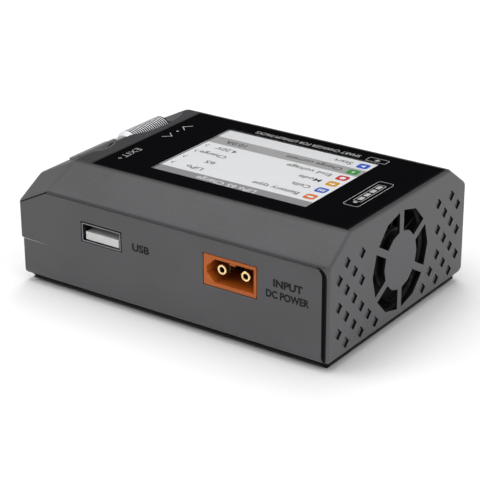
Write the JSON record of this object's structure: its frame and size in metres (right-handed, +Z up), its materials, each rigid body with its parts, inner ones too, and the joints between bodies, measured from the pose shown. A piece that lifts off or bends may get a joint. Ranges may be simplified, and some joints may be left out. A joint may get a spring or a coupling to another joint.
{
  "type": "smart battery charger",
  "caption": "Compact DC smart charger for lithium packs: chamfered case, glass-topped colour display, fan end, click roller and exit key, power, USB and balance sockets.",
  "frame": {"origin": "middle of the footprint, on the surface that the rubber feet stand on", "axes": "+X towards the control end, +Y towards the supply side with the USB and input sockets, +Z up through the display"},
  "size_m": [0.0984, 0.0684, 0.035],
  "materials": {
    "case_grey": "fine moulded texture",
    "base_black": "fine moulded texture",
    "screw_steel": "satin",
    "foot_rubber": "matte",
    "display_glass": "polished, printed from behind",
    "lcd_white": "lit from behind, emissive",
    "tray_steel": "pressed sheet",
    "ribbon_film": "polyimide film",
    "board_green": "solder mask",
    "sink_aluminium": "extruded",
    "ferrite_grey": "pressed powder",
    "capacitor_can": "drawn can",
    "black_plastic": "moulded",
    "socket_orange": "moulded nylon",
    "contact_gold": "gold plated",
    "usb_steel": "plated sheet",
    "pale_plastic": "moulded",
    "roller_metal": "machined and ribbed",
    "key_grey": "moulded"
  },
  "bodies": {
    "case": {"balance_pin_1": "contact_gold", "balance_pin_2": "contact_gold", "balance_pin_3": "contact_gold", "balance_pin_4": "contact_gold", "balance_pin_5": "contact_gold", "balance_pin_6": "contact_gold", "balance_pin_7": "contact_gold", "balance_socket": "pale_plastic", "base_cover": "base_black", "buzzer": "black_plastic", "capacitor_1": "capacitor_can", "capacitor_2": "capacitor_can", "capacitor_3": "capacitor_can", "capacitor_4": "capacitor_can", "case_screw_1": "screw_steel", "case_screw_2": "screw_steel", "case_screw_3": "screw_steel", "case_screw_4": "screw_steel", "control_board": "board_green", "controller_chip": "black_plastic", "display_glass": "display_glass", "exit_switch": "black_plastic", "fan_frame": "black_plastic", "heat_sink": "sink_aluminium", "inductor_1": "ferrite_grey", "inductor_2": "ferrite_grey", "input_pin_1": "contact_gold", "input_pin_2": "contact_gold", "input_socket": "socket_orange", "lcd_panel": "lcd_white", "lcd_ribbon": "ribbon_film", "lcd_tray": "tray_steel", "main_board": "board_green", "output_pin_1": "contact_gold", "output_pin_2": "contact_gold", "output_socket": "socket_orange", "roller_sensor": "black_plastic", "roller_switch": "black_plastic", "rubber_foot_1": "foot_rubber", "rubber_foot_2": "foot_rubber", "rubber_foot_3": "foot_rubber", "rubber_foot_4": "foot_rubber", "signal_pin_1": "contact_gold", "signal_pin_2": "contact_gold", "signal_pin_3": "contact_gold", "signal_socket": "black_plastic", "upper_shell": "case_grey", "usb_shell": "usb_steel", "usb_tongue": "pale_plastic"},
    "fan": {"fan_rotor": "black_plastic"},
    "roller_press": {"roller_carriage": "black_plastic"},
    "roller": {"roller": "roller_metal", "roller_axle": "screw_steel"},
    "exit_key": {"exit_key": "key_grey"}
  },
  "joints": [
    {"name": "fan_spin", "type": "hinge", "parent": "case", "child": "fan", "pos_m": [-0.042, 0, 0.01825], "axis": [-1, 0, 0], "continuous": true},
    {"name": "roller_click", "type": "slide", "parent": "case", "child": "roller_press", "axis": [-0.45, 0, -0.893], "range_m": [0, 0.0005], "stiffness_N_per_m": 600},
    {"name": "roller_spin", "type": "hinge", "parent": "roller_press", "child": "roller", "pos_m": [0.03928, -0.0083, 0.0307], "axis": [0, 1, 0], "continuous": true},
    {"name": "exit_key_press", "type": "slide", "parent": "case", "child": "exit_key", "axis": [-0.45, 0, -0.893], "range_m": [0, 0.0006], "stiffness_N_per_m": 600}
  ]
}
